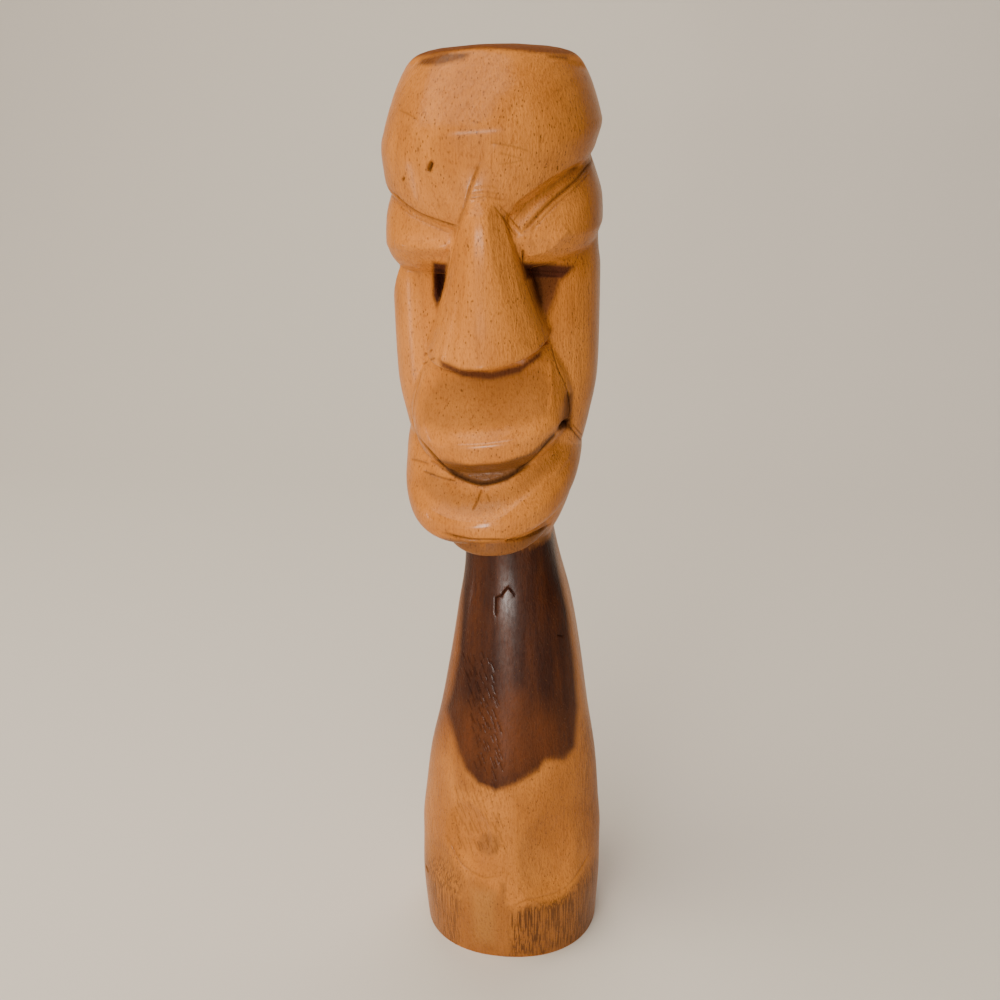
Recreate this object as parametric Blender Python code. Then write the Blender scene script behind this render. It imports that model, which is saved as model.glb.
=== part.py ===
"""A carved wooden bust: one length of branch, cut into a long stylised head on a slender neck."""
import math

import bpy
import bmesh
from mathutils import Matrix, Vector

for old in list(bpy.data.objects):
    bpy.data.objects.remove(old, do_unlink=True)

# Driving dimensions, in metres
HEIGHT = 0.380  # underside to crown
LOG_WIDTH = 0.083  # the branch from side to side, where its round is left above the underside
LOG_DEPTH = 0.077  # the branch from front to back, at the same height
CHISEL_EDGE = 0.0012  # the finest form that the carving keeps

WOOD_COLOUR = (0.52, 0.25, 0.08, 1.0)
WOOD_ROUGHNESS = 0.35
FACETS = 8600  # triangles in the finished solid
RING_POINTS = 96
RING_STEP = 0.3  # percent of HEIGHT from one ring of a form to the next
SOFTENING = 2  # passes that round the edges between the forms
SHARP_ANGLE = math.radians(55)

# Each form of the carving is a stack of sections, from the bottom up. A section holds:
# its height, in percent of HEIGHT,
# its reach to either side, in percent of half the LOG_WIDTH,
# its reach forwards and then back, in percent of half the LOG_DEPTH,
# and its squareness: 2 is an ellipse, more gives it corners, less gives it a keel.
TRUNK = (
    (-1.6, 92, 92, 97, 2.2),
    (0.0, 94, 95, 98, 2.2),
    (7.0, 98, 100, 100, 2.05),
    (9.4, 98, 98, 100, 1.85),
    (12.5, 98, 93, 100, 1.7),
    (17.2, 94, 86, 99, 1.7),
    (22.9, 88, 77, 96, 1.85),
    (28.9, 77, 66, 93, 2.15),
    (35.4, 67, 56, 89, 2.4),
    (41.7, 57, 48, 86, 2.5),
    (48.2, 45, 41, 85, 2.5),
    (58.6, 38, 39, 77, 2.5),
)
HEAD = (
    (49.2, 41, 26, 77, 2.3),
    (50.8, 51, 46, 85, 2.3),
    (53.1, 62, 62, 91, 2.3),
    (56.3, 72, 71, 96, 2.3),
    (60.4, 79, 72, 100, 2.4),
    (64.1, 87, 71, 102, 2.6),
    (69.0, 94, 71, 103, 2.7),
    (78.1, 95, 69, 103, 2.7),
    (81.3, 93, 67, 103, 2.5),
    (88.6, 88, 67, 100, 2.3),
    (94.3, 67, 51, 77, 2.2),
)
EYE_SOCKET = (
    (72.2, 2, 30, 24, 2.0),
    (74.2, 13, 30, 30, 2.0),
    (77.1, 26, 30, 37, 2.1),
    (79.8, 40, 30, 43, 2.2),
    (82.8, 40, 30, 43, 2.2),
)
TEMPLE = (
    (74.6, 1, 90, 90, 3.0),
    (76.4, 4, 90, 90, 3.0),
    (78.4, 10, 90, 90, 3.0),
    (80.2, 17, 90, 90, 3.0),
    (81.6, 21, 90, 90, 3.0),
)
FOREHEAD = (
    (83.1, 57, 62, 67, 2.2),
    (83.5, 79, 84, 90, 2.2),
    (84.7, 91, 97, 100, 2.2),
    (87.5, 95, 103, 104, 2.25),
    (90.6, 97, 106, 104, 2.3),
    (92.7, 95, 106, 102, 2.3),
    (95.6, 87, 98, 95, 2.3),
    (97.4, 80, 89, 87, 2.3),
    (98.6, 73, 83, 81, 2.3),
    (99.3, 63, 79, 76, 2.4),
    (99.75, 45, 75, 68, 2.6),
    (100.0, 18, 70, 50, 2.8),
)
BROW = (
    (79.6, 62, 56, 87, 2.9),
    (80.0, 76, 70, 90, 2.9),
    (80.5, 85, 76, 90, 2.9),
    (81.4, 92, 83, 92, 2.9),
    (82.5, 96, 88, 93, 2.9),
    (83.0, 97, 89, 93, 2.9),
    (85.4, 96, 84, 93, 2.8),
    (87.8, 90, 75, 93, 2.6),
    (90.6, 81, 64, 87, 2.6),
)
NOSE = (
    (71.4, 54, 55, 36, 2.1),
    (71.8, 56, 58, 36, 2.1),
    (74.5, 47, 56, 36, 2.3),
    (78.5, 37, 55, 36, 2.3),
    (82.4, 29, 52, 36, 2.3),
    (85.5, 22, 47, 36, 2.3),
    (87.4, 17, 38, 36, 2.3),
    (88.6, 12, 28, 36, 2.3),
)
UPPER_LIP = (
    (57.6, 58, 70, 26, 2.6),
    (58.6, 62, 78, 26, 2.6),
    (59.7, 67, 87, 26, 2.6),
    (60.9, 72, 97, 26, 2.6),
    (61.8, 76, 105, 26, 2.6),
    (62.1, 77, 106, 26, 2.6),
    (62.9, 78, 107, 26, 2.7),
    (63.8, 79, 108, 26, 2.9),
    (64.6, 79, 105, 26, 3.1),
    (66.2, 78, 96, 26, 3.8),
    (68.2, 76, 88, 26, 4.4),
    (70.4, 71, 85, 26, 4.6),
    (72.0, 66, 82, 26, 4.6),
)
LOWER_LIP = (
    (51.9, 62, 75, 31, 2.3),
    (52.5, 73, 93, 31, 2.3),
    (53.1, 79, 102, 31, 2.3),
    (54.0, 83, 108, 31, 2.3),
    (55.4, 85, 110, 31, 2.3),
    (55.9, 85, 109, 31, 2.3),
    (57.2, 84, 99, 31, 2.3),
    (58.4, 83, 91, 31, 2.3),
    (59.4, 81, 85, 31, 2.3),
    (60.6, 77, 77, 31, 2.3),
)
CHIN = (
    (50.1, 41, 64, 31, 2.2),
    (50.7, 50, 81, 31, 2.2),
    (51.4, 54, 88, 31, 2.2),
    (52.6, 55, 88, 31, 2.2),
    (55.2, 53, 72, 31, 2.2),
)

# Places and tilts of the forms, in the same percentages. A pair is the value at the bottom of the
# form and at its top. A lean lifts a form's sides above its front, a roll lifts its right above its
# left, and a wedge lifts both sides above its middle.
TRUNK_X = (-1.5, -12)
TRUNK_SWAY = 14  # the waist stands this far to the right of a straight trunk
FACE_X = (-8.4, -8.4)  # the face looks a little to the left of the branch's middle
FOREHEAD_X = (-14, -6.5)
BROW_X = (-9, -9)
LOWER_LIP_X = (-13, -13)
EYES = ((-42, 0.5), (28, 0.97))  # each socket's middle, and its share of the full width
EYE_Y = -90
TEMPLE_PLACE = (-106, -20)  # a notch under the brow, on the left side alone
SCOOPS = (
    # the middle of each round cut above the foot, then its reach in percent of half the LOG_DEPTH
    (-76.6, -162.3, 16.75, 104),
    (117.0, -198.9, 14.95, 156),
)
NOSE_Y = -62
FRONT_SOFTNESS = 15  # depth over which a lean fades out behind the face
WEDGE_SOFTNESS = 9.5  # width over which a wedge is rounded in the middle
FOREHEAD_WEDGE_TOP = 0.56  # share of the forehead's height where its wedge has faded out


def mix(pair, share):
    """Return the value a share of the way from a pair's first to its second."""
    return pair[0] + (pair[1] - pair[0]) * share


def slope(before, here, after):
    """Return the slope at a section, level where the outline turns back."""
    if (here - before) * (after - here) <= 0:
        return 0.0
    limit = 3 * min(abs(here - before), abs(after - here))
    return math.copysign(min(abs(after - before) / 2, limit), after - before)


def between(before, start, end, after, t):
    """Return a smooth value between two sections, t of the way from start to end."""
    first = slope(before, start, end)
    last = slope(start, end, after)
    return (
        (2 * t**3 - 3 * t**2 + 1) * start
        + (t**3 - 2 * t**2 + t) * first
        + (3 * t**2 - 2 * t**3) * end
        + (t**3 - t**2) * last
    )


def smooth_sections(sections):
    """Return the sections with smooth ones filled in, about one for each RING_STEP."""
    rows = []
    last = len(sections) - 1
    for i in range(last):
        near = [sections[max(i - 1, 0)], sections[i], sections[i + 1], sections[min(i + 2, last)]]
        count = max(1, round((near[2][0] - near[1][0]) / RING_STEP))
        for step in range(count):
            rows.append([between(*values, step / count) for values in zip(*near)])
    rows.append(list(sections[last]))
    return rows


def rounded(value, power):
    """Return a cosine or a sine bent towards a squarer or a keener section."""
    return math.copysign(abs(value) ** power, value)


def front_only(y):
    """Return y in front of the middle, fading to nothing behind it."""
    return -FRONT_SOFTNESS * math.log1p(math.exp(-y / FRONT_SOFTNESS))


def in_metres(x, y, z):
    """Return a place given in percent as one in metres."""
    return x * LOG_WIDTH / 200, y * LOG_DEPTH / 200, z * HEIGHT / 100


def make_form(name, sections, x, y=0, width=1, sway=0, lean=(0, 0), level_at=0, roll=(0, 0),
              wedge=(0, 0), wedge_top=1):
    """Make one closed form from its sections; its lean leaves it level at depth level_at."""
    bm = bmesh.new()
    rings = []
    rows = smooth_sections(sections)
    bottom, top = rows[0][0], rows[-1][0]
    for height, side, front, back, squareness in rows:
        share = (height - bottom) / (top - bottom)
        lift, tip = mix(lean, share), mix(roll, share)
        spread = mix(wedge, min(1, share / wedge_top))
        middle = mix(x, share) + sway * math.sin(math.pi * share**2)
        ring = []
        for i in range(RING_POINTS):
            turn = math.tau * i / RING_POINTS
            across = width * side * rounded(math.cos(turn), 2 / squareness)
            along = rounded(math.sin(turn), 2 / squareness)
            along *= back if along > 0 else front
            rise = lift * (front_only(y + along) - level_at) / 100
            rise += tip * across / 100
            rise += spread * (math.hypot(across, WEDGE_SOFTNESS) - WEDGE_SOFTNESS) / 100
            ring.append(bm.verts.new(in_metres(middle + across, y + along, height + rise)))
        rings.append(ring)
    for lower, upper in zip(rings, rings[1:]):
        for i in range(RING_POINTS):
            j = (i + 1) % RING_POINTS
            bm.faces.new((lower[i], lower[j], upper[j], upper[i]))
    bm.faces.new(reversed(rings[0]))
    bm.faces.new(rings[-1])
    mesh = bpy.data.meshes.new(name)
    bm.to_mesh(mesh)
    bm.free()
    form = bpy.data.objects.new(name, mesh)
    bpy.context.scene.collection.objects.link(form)
    return form


def apply_modifier(target, kind, **settings):
    """Add a modifier with its settings to an object and apply it."""
    modifier = target.modifiers.new(kind.title(), kind)
    for key, value in settings.items():
        setattr(modifier, key, value)
    bpy.context.view_layer.objects.active = target
    bpy.ops.object.modifier_apply(modifier=modifier.name)


def cut_away(form, hollows):
    """Cut every hollow out of a form."""
    for hollow in hollows:
        apply_modifier(form, 'BOOLEAN', operation='DIFFERENCE', solver='EXACT', object=hollow)
        bpy.data.objects.remove(hollow, do_unlink=True)
    return form


def make_trunk():
    """Make the foot and neck, and cut the two round scoops that meet in a keel above the foot."""
    trunk = make_form("trunk", TRUNK, TRUNK_X, sway=TRUNK_SWAY)
    balls = []
    for x, y, z, reach in SCOOPS:
        bpy.ops.mesh.primitive_uv_sphere_add(segments=96, ring_count=48, radius=reach * LOG_DEPTH / 200,
                                             location=in_metres(x, y, z))
        balls.append(bpy.context.object)
    return cut_away(trunk, balls)


def make_head():
    """Make the plain head behind the face, and cut the eye sockets and the temple out of it."""
    hollows = [make_form("eye_socket", EYE_SOCKET, (x, x), y=EYE_Y, width=width) for x, width in EYES]
    x, y = TEMPLE_PLACE
    hollows.append(make_form("temple", TEMPLE, (x, x), y=y))
    return cut_away(make_form("head", HEAD, FACE_X), hollows)


def make_forms():
    """Make every form of the carving, each one sunk into its neighbours."""
    return [
        make_trunk(),
        make_head(),
        make_form("forehead", FOREHEAD, FOREHEAD_X, lean=(1.0, 0), level_at=-98, roll=(1.6, 0),
                  wedge=(4.9, 0), wedge_top=FOREHEAD_WEDGE_TOP),
        make_form("brow", BROW, BROW_X, roll=(0.95, 0.65)),
        make_form("nose", NOSE, FACE_X, y=NOSE_Y, lean=(1.0, 0), level_at=-118, roll=(1.1, 0.5)),
        make_form("upper_lip", UPPER_LIP, FACE_X, lean=(4.3, 1.0), level_at=-103, roll=(1.3, 1.3)),
        make_form("lower_lip", LOWER_LIP, LOWER_LIP_X, lean=(3.7, 4.9), level_at=-103, roll=(1.3, 1.3)),
        make_form("chin", CHIN, FACE_X, lean=(2.0, 2.0), level_at=-87, roll=(0.3, 0.3)),
    ]


def fuse(forms, name):
    """Join the forms, fuse them into one skin and round the edges between them."""
    bpy.ops.object.select_all(action='DESELECT')
    for form in forms:
        form.select_set(True)
    bpy.context.view_layer.objects.active = forms[0]
    bpy.ops.object.join()
    bust = forms[0]
    bust.name = name
    bust.data.name = name
    apply_modifier(bust, 'REMESH', mode='VOXEL', voxel_size=CHISEL_EDGE)
    apply_modifier(bust, 'SMOOTH', factor=0.5, iterations=SOFTENING)
    return bust


def saw_flat(bust):
    """Saw the underside off flat at the floor."""
    bm = bmesh.new()
    bm.from_mesh(bust.data)
    everything = bm.verts[:] + bm.edges[:] + bm.faces[:]
    bmesh.ops.bisect_plane(bm, geom=everything, plane_co=(0, 0, 0), plane_no=(0, 0, 1), clear_inner=True)
    rim = [edge for edge in bm.edges if edge.is_boundary]
    bmesh.ops.edgeloop_fill(bm, edges=rim)
    bmesh.ops.recalc_face_normals(bm, faces=bm.faces)
    bmesh.ops.triangulate(bm, faces=bm.faces)
    bm.to_mesh(bust.data)
    bm.free()


def thin_out(bust):
    """Thin the skin to its facets, then set the underside's points back on the floor."""
    apply_modifier(bust, 'DECIMATE', ratio=FACETS / len(bust.data.polygons))
    for vertex in bust.data.vertices:
        if vertex.co.z < CHISEL_EDGE / 2:
            vertex.co.z = 0


def stand_at_origin(bust):
    """Move the carving so that the middle of its outline stands over the origin."""
    xs = [vertex.co.x for vertex in bust.data.vertices]
    ys = [vertex.co.y for vertex in bust.data.vertices]
    middle = Vector((min(xs) + max(xs), min(ys) + max(ys), 0)) / 2
    bust.data.transform(Matrix.Translation(-middle))


def make_wood():
    """Make the varnished wood's material."""
    wood = bpy.data.materials.new("varnished_wood")
    wood.use_nodes = True
    shader = wood.node_tree.nodes["Principled BSDF"]
    shader.inputs["Base Color"].default_value = WOOD_COLOUR
    shader.inputs["Roughness"].default_value = WOOD_ROUGHNESS
    shader.inputs["Metallic"].default_value = 0.0
    return wood


bust = fuse(make_forms(), "carved_bust")
saw_flat(bust)
thin_out(bust)
stand_at_origin(bust)
bust.data.shade_smooth()
bust.data.set_sharp_from_angle(angle=SHARP_ANGLE)
bust.data.materials.append(make_wood())
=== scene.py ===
# %% [markdown]
# A tall head and neck carved from one length of branch, sanded and varnished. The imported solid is
# the frame: it fixes every size. Here it is taken as a carver takes a roughed-out block: smoothed,
# cut along the lines that the real one shows, and given its wood. The whole bust is one piece, as
# the real one is, so there is one mesh and one finish.

# %% Load the frame
import math
import random

import bpy
import numpy as np
from mathutils import Matrix, Vector
from mathutils.bvhtree import BVHTree


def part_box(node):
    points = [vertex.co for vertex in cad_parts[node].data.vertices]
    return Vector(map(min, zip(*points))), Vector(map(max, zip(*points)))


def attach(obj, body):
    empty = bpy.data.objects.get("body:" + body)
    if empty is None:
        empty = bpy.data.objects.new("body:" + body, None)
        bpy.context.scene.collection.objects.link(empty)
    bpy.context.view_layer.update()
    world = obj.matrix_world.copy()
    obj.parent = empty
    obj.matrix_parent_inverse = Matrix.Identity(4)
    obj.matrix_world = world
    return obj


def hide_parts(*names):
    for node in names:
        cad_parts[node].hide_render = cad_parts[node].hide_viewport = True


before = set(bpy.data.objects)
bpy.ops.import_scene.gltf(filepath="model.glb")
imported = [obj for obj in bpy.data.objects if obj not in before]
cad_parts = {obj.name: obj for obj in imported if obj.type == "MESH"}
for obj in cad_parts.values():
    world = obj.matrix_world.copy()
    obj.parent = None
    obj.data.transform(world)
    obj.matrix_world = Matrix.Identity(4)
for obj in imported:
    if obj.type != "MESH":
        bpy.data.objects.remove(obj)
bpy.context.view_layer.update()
low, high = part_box("carved_bust")
HEIGHT = high.z - low.z
MM = HEIGHT / 380  # one millimetre on a bust 380 mm tall; every size below follows the frame
print(f"the block is {HEIGHT:.3f} m tall, {high.x - low.x:.3f} wide and {high.y - low.y:.3f} deep")

# %% [markdown]
# The camera stands a little to the bust's left and looks down on it from the height of its crown.
# Those numbers come from the ellipse of the foot and from how the sides run together.

# %% The camera
VIEW_TURN, VIEW_PITCH, VIEW_ROLL = (math.radians(a) for a in (8.0, 21.5, 0.9))
FOCAL_PIXELS = 1200  # in a picture 1000 pixels wide
FRAME_PIXELS = 1000

bpy.ops.object.camera_add(location=(0, 0, 0))
camera = bpy.context.object
turned = Matrix.Rotation(VIEW_TURN, 4, 'Z')
camera.matrix_world = (
    Matrix.Translation((2.35 * MM, 3.01 * MM, 0))
    @ turned
    @ Matrix.Translation((-3.56 * MM, -459.4 * MM, 385.6 * MM))
    @ Matrix.Rotation(math.pi / 2 - VIEW_PITCH, 4, 'X')
    @ Matrix.Rotation(-VIEW_ROLL, 4, 'Z')
)
camera.data.sensor_width = 36
camera.data.lens = 36 * FOCAL_PIXELS / FRAME_PIXELS
bpy.context.scene.camera = camera
print("the camera stands at", [round(v, 3) for v in camera.matrix_world.translation])

# %% [markdown]
# A plain studio: a pale sheet that curves up behind, a large soft window high on the left, and a
# little light from all round. A varnished surface shows its shape through what it mirrors, so a
# thin low window and two small cards add the shine on the forehead, the nose, the lips and the
# neck. They are narrow and weak, because a wide one would lay a grey haze over the wood.

# %% Floor and light
BEND_START, BEND = 0.55, 0.6  # where the sheet starts to curve up and its radius, in metres
SWEEP = [(-1.5, 0), (BEND_START, 0)]  # depth and height along the sheet's side view
for turn in np.radians(np.arange(5, 91, 5)):
    SWEEP.append((BEND_START + BEND * math.sin(turn), BEND - BEND * math.cos(turn)))
SWEEP.append((BEND_START + BEND, 2.2))

sheet = bpy.data.meshes.new("backdrop")
sheet.from_pydata([(x, y, z) for y, z in SWEEP for x in (-2, 2)], [],
                  [(i, i + 1, i + 3, i + 2) for i in range(0, 2 * len(SWEEP) - 2, 2)])
backdrop = bpy.data.objects.new("backdrop", sheet)
bpy.context.scene.collection.objects.link(backdrop)
sheet.shade_smooth()
paper = bpy.data.materials.new("pale_paper")
paper.use_nodes = True
matt = paper.node_tree.nodes["Principled BSDF"]
matt.inputs["Base Color"].default_value = (0.66, 0.61, 0.55, 1)
matt.inputs["Roughness"].default_value = 0.9
sheet.materials.append(paper)
print("backdrop:", len(sheet.polygons), "faces")


def soft_light(name, turn, rise, away, size, power, colour, spread=180):
    """Add a lamp that looks at the bust from a turn and a rise in degrees, away in metres.

    Its size is width and height in metres, its power in watts, its spread in degrees.
    """
    turn, rise = math.radians(turn), math.radians(rise)
    aim = Vector((0, 0, 0.55 * HEIGHT))
    level = Vector((math.sin(turn), -math.cos(turn), 0)) * math.cos(rise)
    place = aim + (level + Vector((0, 0, math.sin(rise)))) * away
    bpy.ops.object.light_add(type='AREA', location=place)
    lamp = bpy.context.object
    lamp.name = name
    lamp.data.shape = 'RECTANGLE'
    lamp.data.size, lamp.data.size_y = size
    lamp.data.energy = power
    lamp.data.color = colour
    lamp.data.spread = math.radians(spread)
    lamp.rotation_euler = (aim - place).to_track_quat('-Z', 'Y').to_euler()


soft_light("window", -42, 54, 1.4, (1.7, 1.4), 34, (1.0, 0.91, 0.76))
soft_light("low_window", -10, 12, 1.3, (0.7, 0.05), 7, (1.0, 0.95, 0.88))
soft_light("front_card", -8, -12, 0.60, (0.03, 0.05), 0.10, (1.0, 0.96, 0.90), 50)
soft_light("left_card", -78, -8, 0.80, (0.05, 0.22), 0.06, (1.0, 0.96, 0.90), 60)
soft_light("paper_light", 175, 62, 1.5, (1.2, 0.6), 10, (1.0, 0.95, 0.88))

# %% A little light from all round
world = bpy.data.worlds.new("studio")
bpy.context.scene.world = world
world.use_nodes = True
world.node_tree.nodes["Background"].inputs["Color"].default_value = (0.80, 0.83, 0.90, 1)
world.node_tree.nodes["Background"].inputs["Strength"].default_value = 0.12

# %% [markdown]
# The roughed-out block. The carver leaves a stack of simple forms: a flaring trunk, a plank-sided
# head, a forehead slab, a brow, a cone nose, two lips and a chin. Each form is a stack of sections,
# from the bottom up, as a boat's hull is drawn: its height in percent of the bust's height, its
# reach to either side in percent of half the branch's width, its reach forwards and back in percent
# of half the branch's depth, and its squareness, where 2 is an ellipse and more gives it corners.
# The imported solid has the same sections, thinned to a few facets; here they stay smooth and keen.
# The eye sockets and the temple are hollows, and their sections are those of the wood cut away.

# %% The sections of each form
LOG_WIDTH, LOG_DEPTH = 83 * MM, 77 * MM

TRUNK = (
    (-1.6, 92, 92, 97, 2.2),
    (0.0, 94, 95, 98, 2.2),
    (7.0, 98, 100, 100, 2.05),
    (9.4, 98, 98, 100, 1.85),
    (12.5, 98, 93, 100, 1.7),
    (17.2, 94, 86, 99, 1.7),
    (22.9, 88, 77, 96, 1.85),
    (28.9, 77, 66, 93, 2.15),
    (35.4, 67, 56, 89, 2.4),
    (41.7, 57, 48, 86, 2.5),
    (48.2, 45, 41, 85, 2.5),
    (58.6, 38, 39, 77, 2.5),
)
HEAD = (
    (49.2, 41, 26, 77, 2.3),
    (50.8, 51, 46, 85, 2.3),
    (53.1, 62, 62, 91, 2.3),
    (56.3, 72, 71, 96, 2.3),
    (60.4, 79, 72, 100, 2.4),
    (64.1, 87, 71, 102, 2.6),
    (69.0, 94, 71, 103, 2.7),
    (78.1, 95, 69, 103, 2.7),
    (81.3, 93, 67, 103, 2.5),
    (88.6, 88, 67, 100, 2.3),
    (94.3, 67, 51, 77, 2.2),
)
EYE_SOCKET = (
    (72.2, 2, 30, 24, 2.0),
    (74.2, 13, 30, 30, 2.0),
    (77.1, 26, 30, 37, 2.1),
    (79.8, 40, 30, 43, 2.2),
    (82.8, 40, 30, 43, 2.2),
)
TEMPLE = (
    (74.6, 1, 90, 90, 3.0),
    (76.4, 4, 90, 90, 3.0),
    (78.4, 10, 90, 90, 3.0),
    (80.2, 17, 90, 90, 3.0),
    (81.6, 21, 90, 90, 3.0),
)
FOREHEAD = (
    (83.1, 57, 62, 67, 2.2),
    (83.5, 79, 84, 90, 2.2),
    (84.7, 91, 97, 100, 2.2),
    (87.5, 95, 103, 104, 2.25),
    (90.6, 97, 106, 104, 2.3),
    (92.7, 95, 106, 102, 2.3),
    (95.6, 87, 98, 95, 2.3),
    (97.4, 80, 89, 87, 2.3),
    (98.6, 73, 83, 81, 2.3),
    (99.3, 63, 79, 76, 2.4),
    (99.75, 45, 75, 68, 2.6),
    (100.0, 18, 70, 50, 2.8),
)
BROW = (
    (79.6, 62, 56, 87, 2.9),
    (80.0, 76, 70, 90, 2.9),
    (80.5, 85, 76, 90, 2.9),
    (81.4, 92, 83, 92, 2.9),
    (82.5, 96, 88, 93, 2.9),
    (83.0, 97, 89, 93, 2.9),
    (85.4, 96, 84, 93, 2.8),
    (87.8, 90, 75, 93, 2.6),
    (90.6, 81, 64, 87, 2.6),
)
NOSE = (
    (71.4, 54, 55, 36, 2.1),
    (71.8, 56, 58, 36, 2.1),
    (74.5, 47, 56, 36, 2.3),
    (78.5, 37, 55, 36, 2.3),
    (82.4, 29, 52, 36, 2.3),
    (85.5, 22, 47, 36, 2.3),
    (87.4, 17, 38, 36, 2.3),
    (88.6, 12, 28, 36, 2.3),
)
UPPER_LIP = (
    (57.6, 58, 70, 26, 2.6),
    (58.6, 62, 78, 26, 2.6),
    (59.7, 67, 87, 26, 2.6),
    (60.9, 72, 97, 26, 2.6),
    (61.8, 75, 105, 26, 2.6),
    (62.1, 76, 106, 26, 2.6),
    (62.9, 77, 107, 26, 2.7),
    (63.8, 77.5, 108, 26, 2.9),
    (64.6, 77.5, 105, 26, 3.1),
    (66.2, 76.5, 96, 26, 3.8),
    (68.2, 72, 88, 26, 4.4),
    (70.4, 65, 85, 26, 4.6),
    (72.0, 60, 82, 26, 4.6),
)
LOWER_LIP = (
    (51.9, 62, 75, 31, 2.3),
    (52.5, 73, 93, 31, 2.3),
    (53.1, 79, 102, 31, 2.3),
    (54.0, 83, 108, 31, 2.3),
    (55.4, 85, 110, 31, 2.3),
    (55.9, 85, 109, 31, 2.3),
    (57.2, 84, 99, 31, 2.3),
    (58.4, 83, 91, 31, 2.3),
    (59.4, 81, 85, 31, 2.3),
    (60.6, 77, 77, 31, 2.3),
)
CHIN = (
    (50.1, 41, 64, 31, 2.2),
    (50.7, 50, 81, 31, 2.2),
    (51.4, 54, 88, 31, 2.2),
    (52.6, 55, 88, 31, 2.2),
    (55.2, 53, 72, 31, 2.2),
)

STACKS = (TRUNK, HEAD, EYE_SOCKET, TEMPLE, FOREHEAD, BROW, NOSE, UPPER_LIP, LOWER_LIP, CHIN)
print("sections:", sum(len(stack) for stack in STACKS), "in", len(STACKS), "stacks")

# %% [markdown]
# Between two sections the outline runs in a smooth curve that never overshoots, so two sections
# that are alike keep a plane between them. A ring of points is laid at every small step of height
# and the rings are joined by faces, closed at both ends. Pulling a cylinder's rings into place by
# hand gives the same mesh, but a table of sections can be read, compared and mended.

# %% Smooth curves from section to section
RING_POINTS = 128
RING_STEP = 0.25  # percent of the height
FRONT_SOFTNESS = 15  # depth over which a lean fades out behind the face
WEDGE_SOFTNESS = 9.5  # width over which a wedge is rounded in the middle


def mix(pair, share):
    """Return the value a share of the way from a pair's first to its second."""
    return pair[0] + (pair[1] - pair[0]) * share


def slope(before, here, after):
    """Return the slope at a section, level where the outline turns back."""
    if (here - before) * (after - here) <= 0:
        return 0.0
    limit = 3 * min(abs(here - before), abs(after - here))
    return math.copysign(min(abs(after - before) / 2, limit), after - before)


def between(before, start, end, after, t):
    """Return a smooth value between two sections, t of the way from start to end."""
    first = slope(before, start, end)
    last = slope(start, end, after)
    return (
        (2 * t**3 - 3 * t**2 + 1) * start
        + (t**3 - 2 * t**2 + t) * first
        + (3 * t**2 - 2 * t**3) * end
        + (t**3 - t**2) * last
    )


def smooth_sections(sections):
    """Return the sections with smooth ones filled in, about one for each RING_STEP."""
    rows = []
    last = len(sections) - 1
    for i in range(last):
        near = [sections[max(i - 1, 0)], sections[i], sections[i + 1], sections[min(i + 2, last)]]
        count = max(1, round((near[2][0] - near[1][0]) / RING_STEP))
        for step in range(count):
            rows.append([between(*values, step / count) for values in zip(*near)])
    rows.append(list(sections[last]))
    return rows


def rounded(value, power):
    """Return a cosine or a sine bent towards a squarer or a keener section."""
    return math.copysign(abs(value) ** power, value)


def front_only(y):
    """Return y in front of the middle, fading to nothing behind it."""
    return -FRONT_SOFTNESS * math.log1p(math.exp(-y / FRONT_SOFTNESS))


def in_metres(x, y, z):
    """Return a place given in percent as one in metres."""
    return x * LOG_WIDTH / 200, y * LOG_DEPTH / 200, z * HEIGHT / 100


# %% Make a closed form
def make_form(name, sections, x, y=0, width=1, sway=0, lean=(0, 0), level_at=0, roll=(0, 0),
              wedge=(0, 0), wedge_top=1):
    """Make one closed form. A lean lifts its sides, a roll its right, a wedge both sides."""
    points, rows = [], smooth_sections(sections)
    bottom, top = rows[0][0], rows[-1][0]
    for height, side, front, back, squareness in rows:
        share = (height - bottom) / (top - bottom)
        lift, tip = mix(lean, share), mix(roll, share)
        spread = mix(wedge, min(1, share / wedge_top))
        middle = mix(x, share) + sway * math.sin(math.pi * share**2)
        for i in range(RING_POINTS):
            turn = math.tau * i / RING_POINTS
            across = width * side * rounded(math.cos(turn), 2 / squareness)
            along = rounded(math.sin(turn), 2 / squareness)
            along *= back if along > 0 else front
            rise = lift * (front_only(y + along) - level_at) / 100 + tip * across / 100
            rise += spread * (math.hypot(across, WEDGE_SOFTNESS) - WEDGE_SOFTNESS) / 100
            points.append(in_metres(middle + across, y + along, height + rise))
    n = RING_POINTS
    faces = [tuple(reversed(range(n))), tuple(range(len(points) - n, len(points)))]
    for start in range(0, len(points) - n, n):
        faces += [(start + i, start + (i + 1) % n, start + n + (i + 1) % n, start + n + i)
                  for i in range(n)]
    mesh = bpy.data.meshes.new(name)
    mesh.from_pydata(points, [], faces)
    form = bpy.data.objects.new(name, mesh)
    bpy.context.scene.collection.objects.link(form)
    return form


# %% Finish a piece with modifiers
def apply_modifier(piece, kind, **settings):
    """Add a modifier with its settings to a piece and apply it."""
    modifier = piece.modifiers.new(kind.title(), kind)
    for key, value in settings.items():
        setattr(modifier, key, value)
    bpy.context.view_layer.objects.active = piece
    bpy.ops.object.modifier_apply(modifier=modifier.name)


# %% [markdown]
# The forms overlap as lumps of clay would. Where the real one is hollow, a form of the hollow is
# taken out of the head, and two large balls are taken out of the trunk: a gouge that swings in an
# arc leaves just such a shallow scoop, and the two of them meet in a soft keel above the foot.

# %% Stack the forms
FACE_X = (-8.4, -8.4)  # the face looks a little to the left of the branch's middle
SCOOPS = ((-76.6, -162.3, 16.75, 104), (117.0, -198.9, 14.95, 156))  # middle and reach, in percent

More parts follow.
